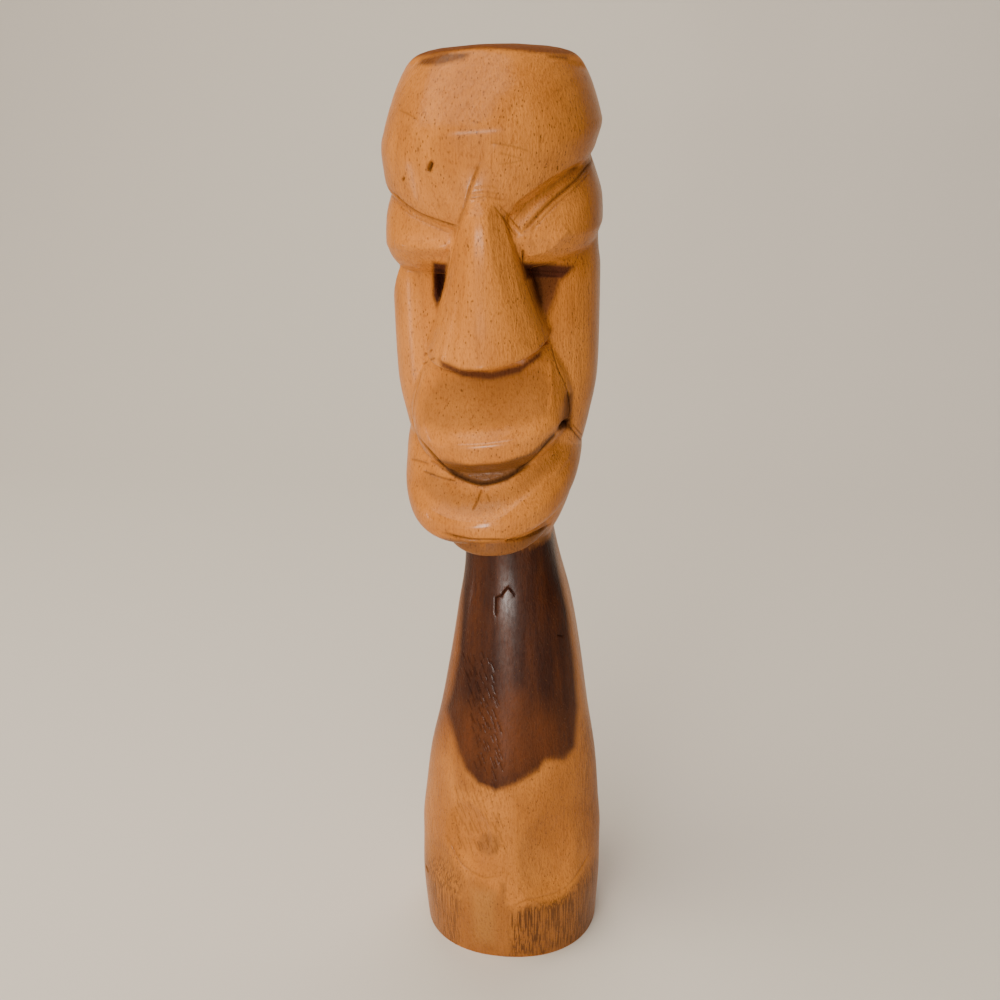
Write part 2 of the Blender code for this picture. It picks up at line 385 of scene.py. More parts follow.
forms = [
    make_form("trunk", TRUNK, (-1.5, -12), sway=14),
    make_form("head", HEAD, FACE_X),
    make_form("forehead", FOREHEAD, (-14, -6.5), lean=(1.0, 0), level_at=-98, roll=(1.6, 0),
              wedge=(4.9, 0), wedge_top=0.56),
    make_form("brow", BROW, (-9, -9), roll=(0.95, 0.65)),
    make_form("nose", NOSE, FACE_X, y=-62, lean=(3.0, 0), level_at=-118, roll=(1.4, 0.5)),
    make_form("upper_lip", UPPER_LIP, FACE_X, lean=(4.3, 1.0), level_at=-103, roll=(1.3, 1.3)),
    make_form("lower_lip", LOWER_LIP, (-13, -13), lean=(3.7, 4.9), level_at=-103, roll=(1.3, 1.3)),
    make_form("chin", CHIN, FACE_X, lean=(2.0, 2.0), level_at=-87, roll=(0.3, 0.3)),
]
trunk, head = forms[:2]
hollows = [
    (head, make_form("left_eye", EYE_SOCKET, (-42, -42), y=-90, width=0.5)),
    (head, make_form("right_eye", EYE_SOCKET, (28, 28), y=-90, width=0.97)),
    (head, make_form("left_temple", TEMPLE, (-106, -106), y=-20)),
]
for x, y, z, reach in SCOOPS:
    bpy.ops.mesh.primitive_uv_sphere_add(segments=96, ring_count=48, radius=reach * LOG_DEPTH / 200,
                                         location=in_metres(x, y, z))
    hollows.append((trunk, bpy.context.object))
for form, hollow in hollows:
    apply_modifier(form, 'BOOLEAN', operation='DIFFERENCE', solver='EXACT', object=hollow)
    bpy.data.objects.remove(hollow, do_unlink=True)
print("forms:", [form.name for form in forms])

# %% [markdown]
# The forms are fused by a voxel remesh: the way a sculptor's dynamic clay joins overlapping lumps
# into one skin of small even squares. Two passes of smoothing take the steps out of the slopes.
# The underside is then sawn off flat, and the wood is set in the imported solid's box. A boolean
# union would keep each seam razor sharp; a knife leaves them as this does, a little soft.

# %% Fuse the forms into one skin
VOXEL = 0.62 * MM

bpy.ops.object.select_all(action='DESELECT')
for form in forms:
    form.select_set(True)
wood = forms[0]
bpy.context.view_layer.objects.active = wood
bpy.ops.object.join()
wood.name = wood.data.name = "carved_wood"
apply_modifier(wood, 'REMESH', mode='VOXEL', voxel_size=VOXEL)
apply_modifier(wood, 'SMOOTH', factor=0.5, iterations=2)
print("fused:", len(wood.data.vertices), "points")

# %% Saw the underside flat
bpy.ops.object.mode_set(mode='EDIT')
bpy.ops.mesh.select_all(action='SELECT')
bpy.ops.mesh.bisect(plane_co=(0, 0, 0), plane_no=(0, 0, 1), use_fill=True, clear_inner=True)
bpy.ops.mesh.select_all(action='SELECT')
bpy.ops.mesh.normals_make_consistent(inside=False)
bpy.ops.mesh.quads_convert_to_tris()
bpy.ops.object.mode_set(mode='OBJECT')


def points_of(mesh):
    """Return a mesh's points as rows of x, y and z."""
    flat = np.empty(len(mesh.vertices) * 3)
    mesh.vertices.foreach_get("co", flat)
    return flat.reshape(-1, 3)


def move_points(mesh, points):
    """Put a mesh's points where the rows of x, y and z say."""
    mesh.vertices.foreach_set("co", points.ravel())
    mesh.update()


points = points_of(wood.data)
reach = points.max(0) - points.min(0)
points = (points - points.min(0)) / reach * np.array(high - low) + np.array(low)
move_points(wood.data, points)
print("fitted: the sections' box was", [round(v / MM, 2) for v in reach], "mm")

# %% [markdown]
# The carver's lines. A line is drawn on the camera's view, as a carver pencils one on the block,
# and dropped onto the wood: from each of its points a ray goes out of the camera and stops at the
# first wood it meets. So each line lies on the surface from whatever side it is seen.

# %% Draw a line on the view and drop it onto the wood
LINE_STEP = 2.5  # pixels from one dropped point to the next
LONGEST_STEP = 6 * MM  # a longer jump means that the line ran off an edge

block_faces = BVHTree.FromPolygons(points.tolist(), [p.vertices for p in wood.data.polygons])


def on_wood(u, v):
    """Return the place on the wood that shows at column u and row v of the view."""
    ahead = Vector((u - FRAME_PIXELS / 2, FRAME_PIXELS / 2 - v, -FOCAL_PIXELS)).normalized()
    ray = camera.matrix_world.to_3x3() @ ahead
    return block_faces.ray_cast(camera.matrix_world.translation, ray)[0]


def lay_line(*corners):
    """Return the places on the wood along a smooth line through several corners of the view."""
    ends = (corners[0],) + corners + (corners[-1],)
    places = []
    for near in zip(ends, ends[1:], ends[2:], ends[3:]):
        count = max(1, round(math.dist(near[1], near[2]) / LINE_STEP))
        places += [on_wood(*(between(*values, i / count) for values in zip(*near)))
                   for i in range(count)]
    places.append(on_wood(*corners[-1]))
    return [p for p in places if p]


def distance_to(points, line):
    """Return each point's distance from a line, and how far along the line it lies, 0 to 1."""
    best, share = np.full(len(points), 1.0), np.zeros(len(points))
    for i, (start, end) in enumerate(zip(line, line[1:])):
        start, along = np.array(start), np.array(end - start)
        if not 0 < np.linalg.norm(along) < LONGEST_STEP:
            continue
        t = np.clip((points - start) @ along / (along @ along), 0, 1)
        away = np.linalg.norm(points - start - t[:, None] * along, axis=1)
        closer = away < best
        best[closer] = away[closer]
        share[closer] = (i + t[closer]) / (len(line) - 1)
    return best, share


def seen_at(points):
    """Return the column and row of the view at which each point would show."""
    flat = np.array(camera.matrix_world.inverted())
    local = points @ flat[:3, :3].T + flat[:3, 3]
    return (FRAME_PIXELS / 2 + FOCAL_PIXELS * local[:, 0] / -local[:, 2],
            FRAME_PIXELS / 2 - FOCAL_PIXELS * local[:, 1] / -local[:, 2])


print("the tip of the nose's rim lies at", [round(c / MM, 1) for c in on_wood(491, 366)], "mm")

# %% [markdown]
# Planes that the knife left: each is a flat shaving, one down the right of the nose and one above
# the right end of the forehead's V. The plane holds an edge that is drawn on the view and faces a
# given way, and all the wood that stands proud of it, inside an outline on the view, is taken down
# to it. A bisect would cut right through the bust; an outline keeps the knife where it was.

# %% Shave the planes
SHAVINGS = (
    # the plane's edge on the view, the way it faces (turn, rise), the most it takes off in
    # millimetres, outline of the shaving
    (((488, 219), (529, 326)), (48, 8), 4.0,
     ((480, 205), (500, 200), (552, 330), (552, 345), (535, 350), (500, 345))),
    (((511, 211), (583, 165)), (24, -30), 1.4,
     ((504, 219), (512, 205), (551, 177), (586, 158), (594, 158), (577, 179), (551, 201),
      (521, 232))),
)
RUN_OUT = 5  # pixels of the view over which a shaving comes up to nothing


def inset(columns, rows, outline):
    """Return how many pixels inside an outline on the view each place lies, and 0 outside it."""
    inside = np.zeros(len(columns), bool)
    nearest = np.full(len(columns), 1e3)
    for (x0, y0), (x1, y1) in zip(outline, outline[1:] + outline[:1]):
        run, drop = x1 - x0, y1 - y0
        crosses = (y0 > rows) != (y1 > rows)
        inside ^= crosses & (columns < x0 + run * (rows - y0) / (drop or 1))
        t = np.clip(((columns - x0) * run + (rows - y0) * drop) / (run**2 + drop**2), 0, 1)
        nearest = np.minimum(nearest, np.hypot(columns - x0 - t * run, rows - y0 - t * drop))
    return np.where(inside, nearest, 0)


def facing(turn, rise):
    """Return the way that faces a turn to the right of the front, and a rise above level."""
    turn, rise = math.radians(turn), math.radians(rise)
    level = math.cos(rise)
    return np.array([math.sin(turn) * level, -math.cos(turn) * level, math.sin(rise)])


def facing_of(mesh):
    """Return the way that the surface faces at each point."""
    flat = np.empty(len(mesh.vertices) * 3)
    mesh.vertex_normals.foreach_get("vector", flat)
    return flat.reshape(-1, 3)


columns, rows = seen_at(points)
on_this_side = facing_of(wood.data) @ np.array(camera.matrix_world.to_3x3().col[2]) > -0.2
for edge, way, most, outline in SHAVINGS:
    start, end = (np.array(on_wood(*corner)) for corner in edge)
    normal = facing(*way)
    along = (end - start) / np.linalg.norm(end - start)
    normal -= along * (normal @ along)
    normal /= np.linalg.norm(normal)
    proud = (points - start) @ normal
    proud = np.clip(proud, 0, most * MM) * on_this_side
    proud *= np.clip(inset(columns, rows, outline) / RUN_OUT, 0, 1)
    points -= proud[:, None] * normal
    print("a shaving takes off", round(proud.max() / MM, 2), "mm")
move_points(wood.data, points)

# %% [markdown]
# Sandpaper takes the keen edge off the scoops, the sockets and the root of the nose. A Smooth
# modifier does the same when a vertex group says where it may work, and how strongly.

# %% Rub down the places that the real one has worn smooth
RUBBING = 80
RUBBED = (
    ((500, 795), (606, 785), (614, 862), (594, 882), (569, 904), (545, 916), (525, 926), (498, 922),
     (492, 868)),
    ((545, 262), (585, 262), (560, 320), (545, 335), (540, 322)),
    ((418, 262), (436, 262), (444, 318), (430, 322)),
    ((455, 190), (500, 190), (506, 214), (458, 214)),
    ((405, 815), (444, 826), (456, 860), (466, 882), (452, 905), (405, 905)),
)

rubbed = wood.vertex_groups.new(name="rubbed")
rub = np.zeros(len(points))
for outline in RUBBED:
    here = np.clip(inset(columns, rows, outline) / RUN_OUT, 0, 1) * on_this_side
    rub = np.maximum(rub, here)
for share in (0.33, 0.66, 1.0):
    chosen = np.nonzero((rub > share - 0.33) & (rub <= share))[0]
    rubbed.add(chosen.tolist(), share, 'REPLACE')
apply_modifier(wood, 'SMOOTH', factor=0.5, iterations=RUBBING, vertex_group="rubbed")
wood.vertex_groups.clear()
points = points_of(wood.data)
print("rubbed:", int((rub > 0).sum()), "points")
block_faces = BVHTree.FromPolygons(points.tolist(), [p.vertices for p in wood.data.polygons])

# %% [markdown]
# The cuts that the knife left, each with its half width and depth in millimetres and how much
# dirt and painted shade darken it. A negative depth is a ridge that was left standing. They could
# be sculpted with a crease brush; a list of lines does it the same way each time.

# %% The lines of the carving
CUTS = (
    # corners on the view, half width, depth, dirt and painted shade
    (((386, 186), (394, 194), (409, 207), (427, 217), (457, 227)), 1.1, 0.8, 0.65),
    (((399, 206), (412, 215), (430, 224), (450, 233)), 0.6, 0.2, 0.25),
    (((592, 160), (577, 179), (551, 201), (523, 231)), 1.1, 0.8, 0.7),
    (((590, 172), (577, 187), (553, 208), (532, 231)), 0.7, 0.3, 0.25),
    (((494, 206), (505, 219), (517, 236)), 0.6, 0.35, 0.4),
    (((499, 204), (521, 230)), 0.5, 0.25, 0.3),
    (((480, 164), (472, 184), (467, 199), (458, 226)), 0.7, 0.3, 0.45),
    (((471, 194), (486, 192), (500, 195)), 0.5, 0.1, 0.25),
    (((468, 199), (487, 197), (504, 201)), 0.5, 0.12, 0.3),
    (((474, 188), (489, 186), (498, 189)), 0.5, 0.08, 0.2),
    (((491, 143), (512, 146), (529, 151)), 0.5, 0.1, 0.4),
    (((501, 153), (523, 159)), 0.45, 0.08, 0.3),
    (((498, 164), (511, 163), (523, 160)), 0.45, 0.08, 0.3),
    (((542, 134), (540, 143)), 0.4, 0.2, 0.4),
    (((545, 134), (543, 142)), 0.4, 0.2, 0.4),
    (((399, 110), (408, 114), (417, 120)), 0.5, 0.15, 0.35),
    (((431, 164), (429, 170)), 1.2, 1.6, 1.0),
    (((404, 178), (403, 180)), 0.7, 0.5, 0.9),
    (((558, 167), (558, 169)), 0.6, 0.4, 0.9),
    (((418, 148), (418, 151)), 0.5, 0.3, 0.6),
    (((526, 255), (549, 248), (568, 228)), 4.0, -0.9, 0.0),
    (((394, 242), (420, 247), (449, 248)), 4.0, -0.7, 0.0),
    (((523, 250), (523, 263)), 0.7, 0.6, 0.8),
    (((467, 204), (458, 232), (451, 262), (446, 292)), 0.6, 0.15, 0.35),
    (((497, 206), (510, 232), (521, 262), (532, 298), (546, 334)), 0.6, 0.15, 0.35),
    (((526, 269), (547, 271), (566, 272)), 0.5, 0.3, 0.3),
    (((528, 273), (545, 275), (558, 276)), 0.5, 0.3, 0.3),
    (((552, 347), (558, 368), (564, 381), (568, 392)), 0.6, 0.4, 0.7),
    (((568, 391), (570, 408), (568, 422)), 1.1, 1.0, 0.9),
    (((560, 427), (566, 422), (570, 424)), 2.2, 2.2, 1.0),
    (((570, 427), (581, 440)), 0.5, 0.3, 0.6),
    (((573, 424), (583, 436)), 0.5, 0.25, 0.4),
    (((416, 434), (437, 459), (456, 474), (483, 483), (509, 476), (533, 459), (556, 433)),
     1.4, 0.8, 0.85),
    (((411, 459), (420, 461), (429, 464)), 0.6, 0.3, 0.5),
    (((423, 471), (440, 477), (456, 481)), 0.6, 0.3, 0.6),
    (((430, 460), (442, 468), (454, 476)), 0.6, 0.3, 0.5),
    (((482, 489), (478, 500), (473, 510)), 0.6, 0.5, 0.5),
    (((487, 494), (490, 501)), 0.5, 0.3, 0.4),
    (((427, 508), (460, 521), (494, 520), (523, 501), (551, 477), (571, 454)), 1.8, -0.35, 0.0),
    (((443, 533), (462, 538), (480, 540), (517, 539), (550, 524)), 1.1, 0.7, 0.8),
    (((438, 268), (441, 278), (439, 302)), 3.0, 0.2, 0.8),
    (((422, 371), (415, 397), (413, 420), (417, 434)), 0.8, 0.45, 0.5),
    (((550, 361), (552, 387), (550, 410)), 1.6, -0.3, 0.0),
    (((438, 370), (434, 388), (424, 420)), 1.6, -0.3, 0.0),
    (((425, 355), (432, 350)), 0.6, 0.4, 0.6),
    (((423, 364), (435, 358)), 0.6, 0.4, 0.6),
    (((496, 616), (496, 598), (501, 596), (508, 588), (515, 596)), 0.5, 0.3, 0.8),
    (((558, 635), (563, 636)), 0.5, 0.3, 0.6),
    (((426, 866), (428, 871)), 1.0, 0.6, 0.8),
    (((446, 834), (458, 857), (467, 868), (486, 878), (499, 876)), 0.9, 0.25, 0.25),
    (((510, 910), (525, 901), (545, 896), (569, 885), (589, 853)), 0.9, 0.25, 0.25),
)
LINES = [(lay_line(*corners), width * MM, depth * MM, dirt_and_shade) for corners, width, depth, dirt_and_shade in CUTS]

# %% The slanting marks of the scraper
HATCHING = (
    # where they lie on the view: left, right, top, bottom; how much dirt and painted shade darken
    # them
    (464, 494, 655, 765, 0.5),
    (452, 498, 782, 850, 0.4),
)
HATCH_ROWS, HATCH_COLUMNS = 9, 6  # pixels from one mark to the next
HATCH_SLANT = 0.36  # pixels to the right for each pixel down
SHIFT = 0.12  # and how far each row is set to the right of the one above it
chance = random.Random(7)
for left, right, top, bottom, dirt_and_shade in HATCHING:
    for v in range(top, bottom, HATCH_ROWS):
        for u in range(left, right, HATCH_COLUMNS):
            u0 = u + SHIFT * (v - top) + chance.uniform(-3, 3)
            v0 = v + chance.uniform(-4, 4)
            long = chance.uniform(5, 14)
            mark = lay_line((u0, v0), (u0 + HATCH_SLANT * long, v0 + long))
            LINES.append((mark, 0.40 * MM, 0.13 * MM, dirt_and_shade))
print("lines:", len(LINES))

# %% [markdown]
# A cut half a millimetre wide needs squares finer than that, but only there: the faces along the
# lines are selected and subdivided once, and the rest of the skin stays as it is.

# %% Give the wood finer squares along the lines
def points_round(line, reach):
    """Return the numbers of the points inside a line's box, grown by a reach all round."""
    corners = np.array(line)
    inside = (points > corners.min(0) - reach) & (points < corners.max(0) + reach)
    return np.nonzero(inside.all(1))[0]


near = np.zeros(len(points), bool)
for line, width, depth, dirt_and_shade in LINES:
    found = points_round(line, 2 * MM)
    near[found[distance_to(points[found], line)[0] < width + 0.5 * MM]] = True
bpy.ops.object.mode_set(mode='EDIT')
bpy.ops.mesh.select_all(action='DESELECT')
bpy.ops.object.mode_set(mode='OBJECT')
corners_of = np.empty(len(wood.data.polygons) * 3, int)
wood.data.polygons.foreach_get("vertices", corners_of)
wood.data.polygons.foreach_set("select", near[corners_of.reshape(-1, 3)].any(1))
bpy.ops.object.mode_set(mode='EDIT')
bpy.ops.mesh.subdivide(number_cuts=1)
bpy.ops.object.mode_set(mode='OBJECT')
print("points after subdividing along the lines:", len(wood.data.vertices))

# %% [markdown]
# Each point within reach of a line sinks into the wood, deepest on the line itself, and the knife
# lifts out towards both ends. Where two lines cross, the deeper one holds. Taking a tube away with
# a boolean gives a cleaner groove, but it leaves slivers where lines meet.

# %% Cut the lines
FADING_END = 0.12  # share of a line at each end over which the knife lifts out
LIGHTEST = 0.35  # how deep it still goes at the very end
HOLLOW_GROUND = 1.3  # 1 cuts a plain V; more makes its floor narrower

points = points_of(wood.data)
skin_faces = facing_of(wood.data)
cut_dirt_and_shade = np.zeros(len(points))
sunk = np.zeros(len(points))
for line, width, depth, dirt_and_shade in LINES:
    found = points_round(line, width + 1.5 * MM)
    away, share = distance_to(points[found], line)
    fade = 1
    if len(line) > 4:
        fade = np.clip(np.minimum(share, 1 - share) / FADING_END, LIGHTEST, 1)
    press = np.clip(1 - away / width, 0, 1) ** HOLLOW_GROUND * fade
    deepest = np.abs(depth * press) > np.abs(sunk[found])
    sunk[found[deepest]] = (depth * press)[deepest]
    # dirt and painted shade along the line, darkest on the line itself
    line_darkening = dirt_and_shade * np.exp(-(away / (0.8 * width)) ** 2) * fade
    cut_dirt_and_shade[found] = np.maximum(cut_dirt_and_shade[found], line_darkening)
points -= skin_faces * sunk[:, None]
move_points(wood.data, points)
print("deepest cut:", round(sunk.max() / MM, 2), "mm")

# %% [markdown]
# A branch is pale sapwood outside and dark heartwood within, and the carver's cuts lay the heart
# bare on the neck and at the crown. Old varnish is browner at the foot. Painted shade darkens the
# sockets, the corner of the mouth, the line under the nose, the undersides and dish of the lips,
# the ramp and right facet of the upper lip, a cleft at the foot and the lower neck and foot. Each
# such place is marked on the view: an outline, how soft its edge is in pixels and how strong it
# is. A mark lies only on wood that the view sees, so the hidden sides stay plain. A brush in Vertex
# Paint could do it; outlines can be read and moved. Each kind of mark becomes an attribute of the
# mesh, one number a point, that the finish reads.

# %% Mark the heartwood, the painted shade, the browned and the pale places
BARE_HEART = (
    (461, 500), (459, 600), (456, 650), (449, 690), (443, 708), (449, 728), (455, 753), (463, 772),
    (476, 786), (496, 794), (517, 787), (541, 773), (547, 763), (566, 763), (578, 748), (581, 706),
    (577, 656), (571, 610), (563, 573), (557, 530), (556, 500),
)
MARKS = {
    # outline on the view, softness in pixels, strength
    "heart": (  # on the neck, and two touches at the crown's rim
        (BARE_HEART, 6, 1.0),
        (((414, 67), (420, 57), (445, 51), (474, 51), (466, 60), (440, 67)), 4, 0.75),
        (((545, 53), (571, 55), (568, 62), (548, 59)), 3, 0.6),
    ),
    "warm": (  # the redder half of the bare heart
        (((440, 690), (530, 690), (585, 710), (585, 775), (500, 800), (440, 770)), 30, 0.45),
        (((499, 684), (532, 684), (534, 778), (498, 782)), 12, 0.5),
    ),
    "red": (  # the fringe where the heart meets the sapwood
        (((400, 480), (500, 480), (500, 760), (400, 760)), 40, 1.0),
        (((436, 700), (452, 700), (470, 770), (490, 799), (455, 792)), 9, 0.6),
    ),
    "painted_shade": (  # painted shade in the sockets, in the corner of the mouth and under the nose
        (((431, 260), (449, 262), (447, 286), (437, 314), (431, 296)), 4, 1.0),
        (((518, 260), (560, 262), (580, 264), (564, 282), (524, 282)), 5, 1.0),
        (((524, 270), (568, 270), (560, 298), (547, 330), (530, 300)), 8, 0.85),
        (((563, 392), (574, 391), (575, 432), (553, 434), (561, 415)), 5, 0.7),
        (((436, 356), (462, 367), (491, 370), (520, 363), (543, 347), (543, 358), (520, 375),
          (491, 382), (462, 379), (440, 369)), 4, 0.9),
    ),
    "brown_and_shade": (
        # browned varnish at the foot below the scoops; the wide third one is painted shade, darker
        # towards the bottom
        (((508, 908), (560, 890), (610, 850), (612, 950), (560, 962), (512, 962)), 12, 0.62),
        (((424, 832), (446, 836), (458, 859), (467, 870), (486, 880), (500, 890), (514, 908),
          (528, 902), (569, 887), (592, 855), (612, 840), (640, 990), (380, 990)), 7, 0.42),
        (((380, 700), (640, 700), (640, 900), (380, 900)), 60, 0.20),
        # painted shade under the upper lip and under the lower lip, and the round brown patch in
        # the left scoop
        (((416, 434), (437, 457), (470, 463), (500, 461), (530, 451), (554, 430), (558, 436),
          (533, 461), (509, 482), (483, 489), (456, 480), (437, 464)), 3, 1.0),
        (((440, 536), (480, 541), (517, 540), (552, 524), (548, 545), (494, 562), (450, 550)),
         3, 0.9),
        (((489, 829), (499, 833), (504, 844), (499, 855), (489, 859), (479, 855), (474, 844),
          (479, 833)), 4, 0.6),
        # painted shade in the dish of the lower lip, on the ramp and the right facet of the upper
        # one, and in the cleft
        (((430, 464), (456, 482), (483, 490), (509, 483), (558, 442), (568, 455), (550, 476),
          (523, 499), (494, 517), (460, 518), (430, 504), (412, 482)), 9, 0.5),
        (((437, 374), (545, 362), (556, 385), (554, 418), (520, 430), (480, 434), (445, 436),
          (416, 428), (416, 396)), 10, 0.5),
        (((551, 361), (568, 392), (566, 425), (557, 432), (552, 410)), 2, 0.3),
        (((499, 880), (508, 882), (507, 904), (499, 903)), 3, 0.6),
    ),
    "streaks": (  # long open pores
        (((508, 914), (525, 905), (545, 899), (548, 957), (508, 960)), 5, 1.0),
        (((540, 902), (569, 889), (592, 856), (640, 850), (640, 935), (560, 952), (541, 956)),
         6, 0.85),
        (((380, 850), (446, 852), (467, 876), (464, 955), (380, 940)), 10, 0.75),
        (((440, 560), (470, 560), (462, 700), (436, 720)), 8, 0.4),
        (((576, 700), (606, 720), (606, 860), (575, 850)), 8, 0.4),
    ),
    "dull": (  # where the varnish has sunk in
        (((395, 36), (605, 36), (592, 70), (545, 60), (480, 51), (440, 54), (410, 66)), 2, 1.0),
        (((430, 368), (550, 358), (562, 425), (500, 432), (440, 438), (418, 425)), 8, 1.0),
        (((430, 462), (456, 480), (483, 488), (509, 481), (560, 440), (566, 455), (520, 500),
          (450, 512)), 6, 0.6),
        (((418, 258), (450, 258), (446, 330), (425, 330)), 6, 1.0),
        (((515, 255), (590, 255), (572, 300), (550, 335), (530, 310)), 6, 1.0),
    ),
    "pale": (  # rubbed bare between the scoops
        (((467, 885), (499, 888), (499, 950), (470, 945)), 9, 0.6),
    ),
}

# %% Lay the marks on the wood
NECK_TOP = 0.503 * HEIGHT  # the chin hides the join, so the heart stops by height, not by outline
GRAZING = {"streaks": 0.4}  # how far round the side a mark fades out; 0.15 for the others

points = points_of(wood.data)
columns, rows = seen_at(points)
to_eye = np.array(camera.matrix_world.translation) - points
faces_eye = (facing_of(wood.data) * to_eye).sum(1) / np.linalg.norm(to_eye, axis=1)
marks = {}
for name, areas in MARKS.items():
    marks[name] = np.zeros(len(points))
    for outline, softness, strength in areas:
        mark = np.clip(inset(columns, rows, outline) / softness, 0, 1) * strength
        mark *= np.clip(faces_eye / GRAZING.get(name, 0.15), 0, 1)
        marks[name] = np.maximum(marks[name], mark)
    print(name, "covers", int((marks[name] > 0.1).sum()), "points")
below_chin = np.clip((NECK_TOP - points[:, 2]) / MM, 0, 1)
marks["heart"] *= np.maximum(below_chin, points[:, 2] > 0.9 * HEIGHT)
marks["red"] *= below_chin

# %% Mark the sawn ends
level = np.abs(facing_of(wood.data)[:, 2])
sawn = (points[:, 2] > 0.97 * HEIGHT) | (points[:, 2] < 0.5 * MM)
marks["end_grain"] = np.clip((level - 0.70) / 0.2, 0, 1) * sawn
print("end grain:", int((marks["end_grain"] > 0.5).sum()), "points")

# %% [markdown]
# Hollows are darkened with painted shade, the deeper the darker, and edges are left as they are.
# How hollow each place is comes from comparing the wood with a much smoothed copy of itself.

# %% Find the hollows
copy = wood.copy()
copy.data = wood.data.copy()
bpy.context.scene.collection.objects.link(copy)
apply_modifier(copy, 'SMOOTH', factor=0.5, iterations=60)
hollow = ((points_of(copy.data) - points) * skin_faces).sum(1) / MM
bpy.data.objects.remove(copy, do_unlink=True)
for name, values in {"dirt_and_shade": cut_dirt_and_shade, "hollow": hollow, **marks}.items():
    attribute = wood.data.attributes.new(name, 'FLOAT', 'POINT')
    attribute.data.foreach_set("value", values.astype(np.float32))
print("hollow from", round(hollow.min(), 2), "to", round(hollow.max(), 2), "mm")

# %% [markdown]
# The skin now has more faces than a plain curve needs. A Decimate modifier thins it, and a vertex
# group keeps it from thinning the cuts and the edges of the marks, where it would leave teeth.

# %% Thin the skin where it is plain
MOST_TRIANGLES = 190000
bpy.context.view_layer.objects.active = wood
wood.select_set(True)
if len(wood.data.polygons) > MOST_TRIANGLES:
    kept = cut_dirt_and_shade > 0.05
    for name in ("heart", "painted_shade", "end_grain"):
        kept |= (marks[name] > 0.05) & (marks[name] < 0.95)
    plain = wood.vertex_groups.new(name="plain")
    plain.add(np.nonzero(~kept)[0].tolist(), 1.0, 'REPLACE')
    plain.add(np.nonzero(kept)[0].tolist(), 0.9, 'REPLACE')
    print("kept fine:", int(kept.sum()), "of", len(kept), "points")
    apply_modifier(wood, 'DECIMATE', ratio=MOST_TRIANGLES / len(wood.data.polygons),
                   vertex_group="plain", vertex_group_factor=1.0)
    wood.vertex_groups.clear()
points = np.clip(points_of(wood.data), np.array(low), np.array(high))
move_points(wood.data, points)
bpy.ops.object.shade_smooth()
bpy.ops.object.shade_smooth_by_angle(angle=math.radians(60))
print("triangles:", len(wood.data.polygons))

# %% [markdown]
# The wood under its varnish. Rings, pores and streaks come from noise drawn out along the branch,
# so they run on round to the back. The rings follow the distance from the pith, a slanting line
# from foot to crown, which is why they open into lobes where a cut slopes. A photograph of wood
# wrapped round the bust would smear on the slopes; a pattern in space is cut as real grain is.

# %% Small helpers to wire nodes
def put(tree, kind, inputs=None, **settings):
    """Add a node with its settings; inputs holds values or the links that feed it."""
    made = tree.nodes.new(kind)
    for key, value in settings.items():
        setattr(made, key, value)
    for key, value in (inputs or {}).items():
        if isinstance(value, bpy.types.NodeSocket):
            tree.links.new(value, made.inputs[key])
        else:
            made.inputs[key].default_value = value
    return made


def reckon(tree, operation, *values, clamp=False):
    """Add a Math node and return its result."""
    inputs = dict(enumerate(values))
    return put(tree, 'ShaderNodeMath', inputs, operation=operation, use_clamp=clamp).outputs[0]


def blend(tree, factor, first, second, mode='MIX'):
    """Mix two colours and return the result."""
    inputs = {0: factor, 6: first, 7: second}
    return put(tree, 'ShaderNodeMix', inputs, data_type='RGBA', blend_type=mode).outputs[2]


def ramp_between(tree, value, start, end):
    """Return 0 below start, 1 above end, and a soft step in between."""
    inputs = {0: value, 1: start, 2: end}
    return put(tree, 'ShaderNodeMapRange', inputs, interpolation_type='SMOOTHSTEP').outputs[0]


def noise(tree, where, scale, detail=3.0, stretch=(1, 1, 1)):
    """Return a cloudy pattern of about 0 to 1; a small stretch draws it out that way."""
    inputs = {0: where, 1: tuple(scale * s for s in stretch)}
    scaled = put(tree, 'ShaderNodeVectorMath', inputs, operation='MULTIPLY').outputs[0]
    inputs = {"Vector": scaled, "Scale": 1.0, "Detail": detail}
    return put(tree, 'ShaderNodeTexNoise', inputs).outputs[0]


# %% The branch's own figure: how far each place is from the pith
PITH_FOOT, PITH_LEAN = (10.5, 0.7), (-0.071, 0.013)  # place at the foot, and drift up the branch

figure = bpy.data.node_groups.new("branch_figure", 'ShaderNodeTree')
figure.interface.new_socket("Place", in_out='INPUT', socket_type='NodeSocketVector')
figure.interface.new_socket("From Pith", in_out='OUTPUT', socket_type='NodeSocketFloat')
given = put(figure, 'NodeGroupInput').outputs["Place"]
split = put(figure, 'ShaderNodeSeparateXYZ', {0: given}).outputs
pith_x = reckon(figure, 'MULTIPLY_ADD', split[2], PITH_LEAN[0], PITH_FOOT[0])
pith_y = reckon(figure, 'MULTIPLY_ADD', split[2], PITH_LEAN[1], PITH_FOOT[1])
across = reckon(figure, 'SUBTRACT', split[0], pith_x)
along = reckon(figure, 'SUBTRACT', split[1], pith_y)
flat = put(figure, 'ShaderNodeCombineXYZ', {0: across, 1: along}).outputs[0]
radius = put(figure, 'ShaderNodeVectorMath', {0: flat}, operation='LENGTH').outputs["Value"]
wave = noise(figure, given, 0.05, 2.0, (1, 1, 0.35))
radius = reckon(figure, 'MULTIPLY_ADD', reckon(figure, 'SUBTRACT', wave, 0.5), 5.0, radius)
streak = noise(figure, given, 0.9, 2.0, (1, 1, 0.05))
edge = reckon(figure, 'MULTIPLY_ADD', reckon(figure, 'SUBTRACT', streak, 0.5), 1.2, radius)
put(figure, 'NodeGroupOutput', {"From Pith": edge})
print("group:", figure.name)

